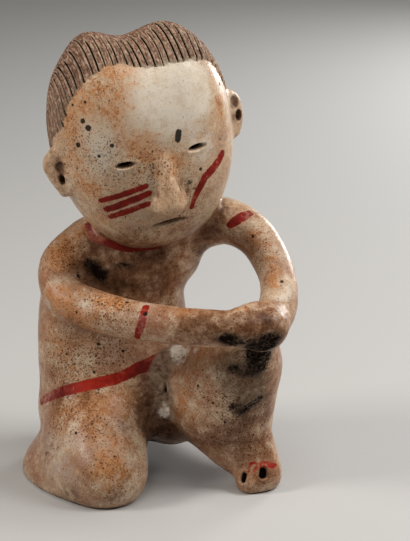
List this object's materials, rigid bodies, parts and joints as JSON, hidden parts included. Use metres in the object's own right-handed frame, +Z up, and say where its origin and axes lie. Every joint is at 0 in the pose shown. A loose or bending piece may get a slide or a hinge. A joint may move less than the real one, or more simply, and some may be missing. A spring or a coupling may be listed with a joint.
{
  "type": "crouching figure statuette",
  "caption": "Hand-built clay figure kneeling on one leg with the other knee raised and both arms clasped over it.",
  "frame": {"origin": "centre of the bounding box at the base, on the surface that the figure stands on", "axes": "+Z up, -Y out of the figure's chest towards the viewer, +X towards the figure's left side"},
  "size_m": [0.1314, 0.1044, 0.2192],
  "materials": {
    "slipped_clay": "burnished cream slip with worn red paint, brown hair and dark mineral spots"
  },
  "bodies": {
    "root": {"crouching_figure": "slipped_clay"}
  },
  "joints": []
}
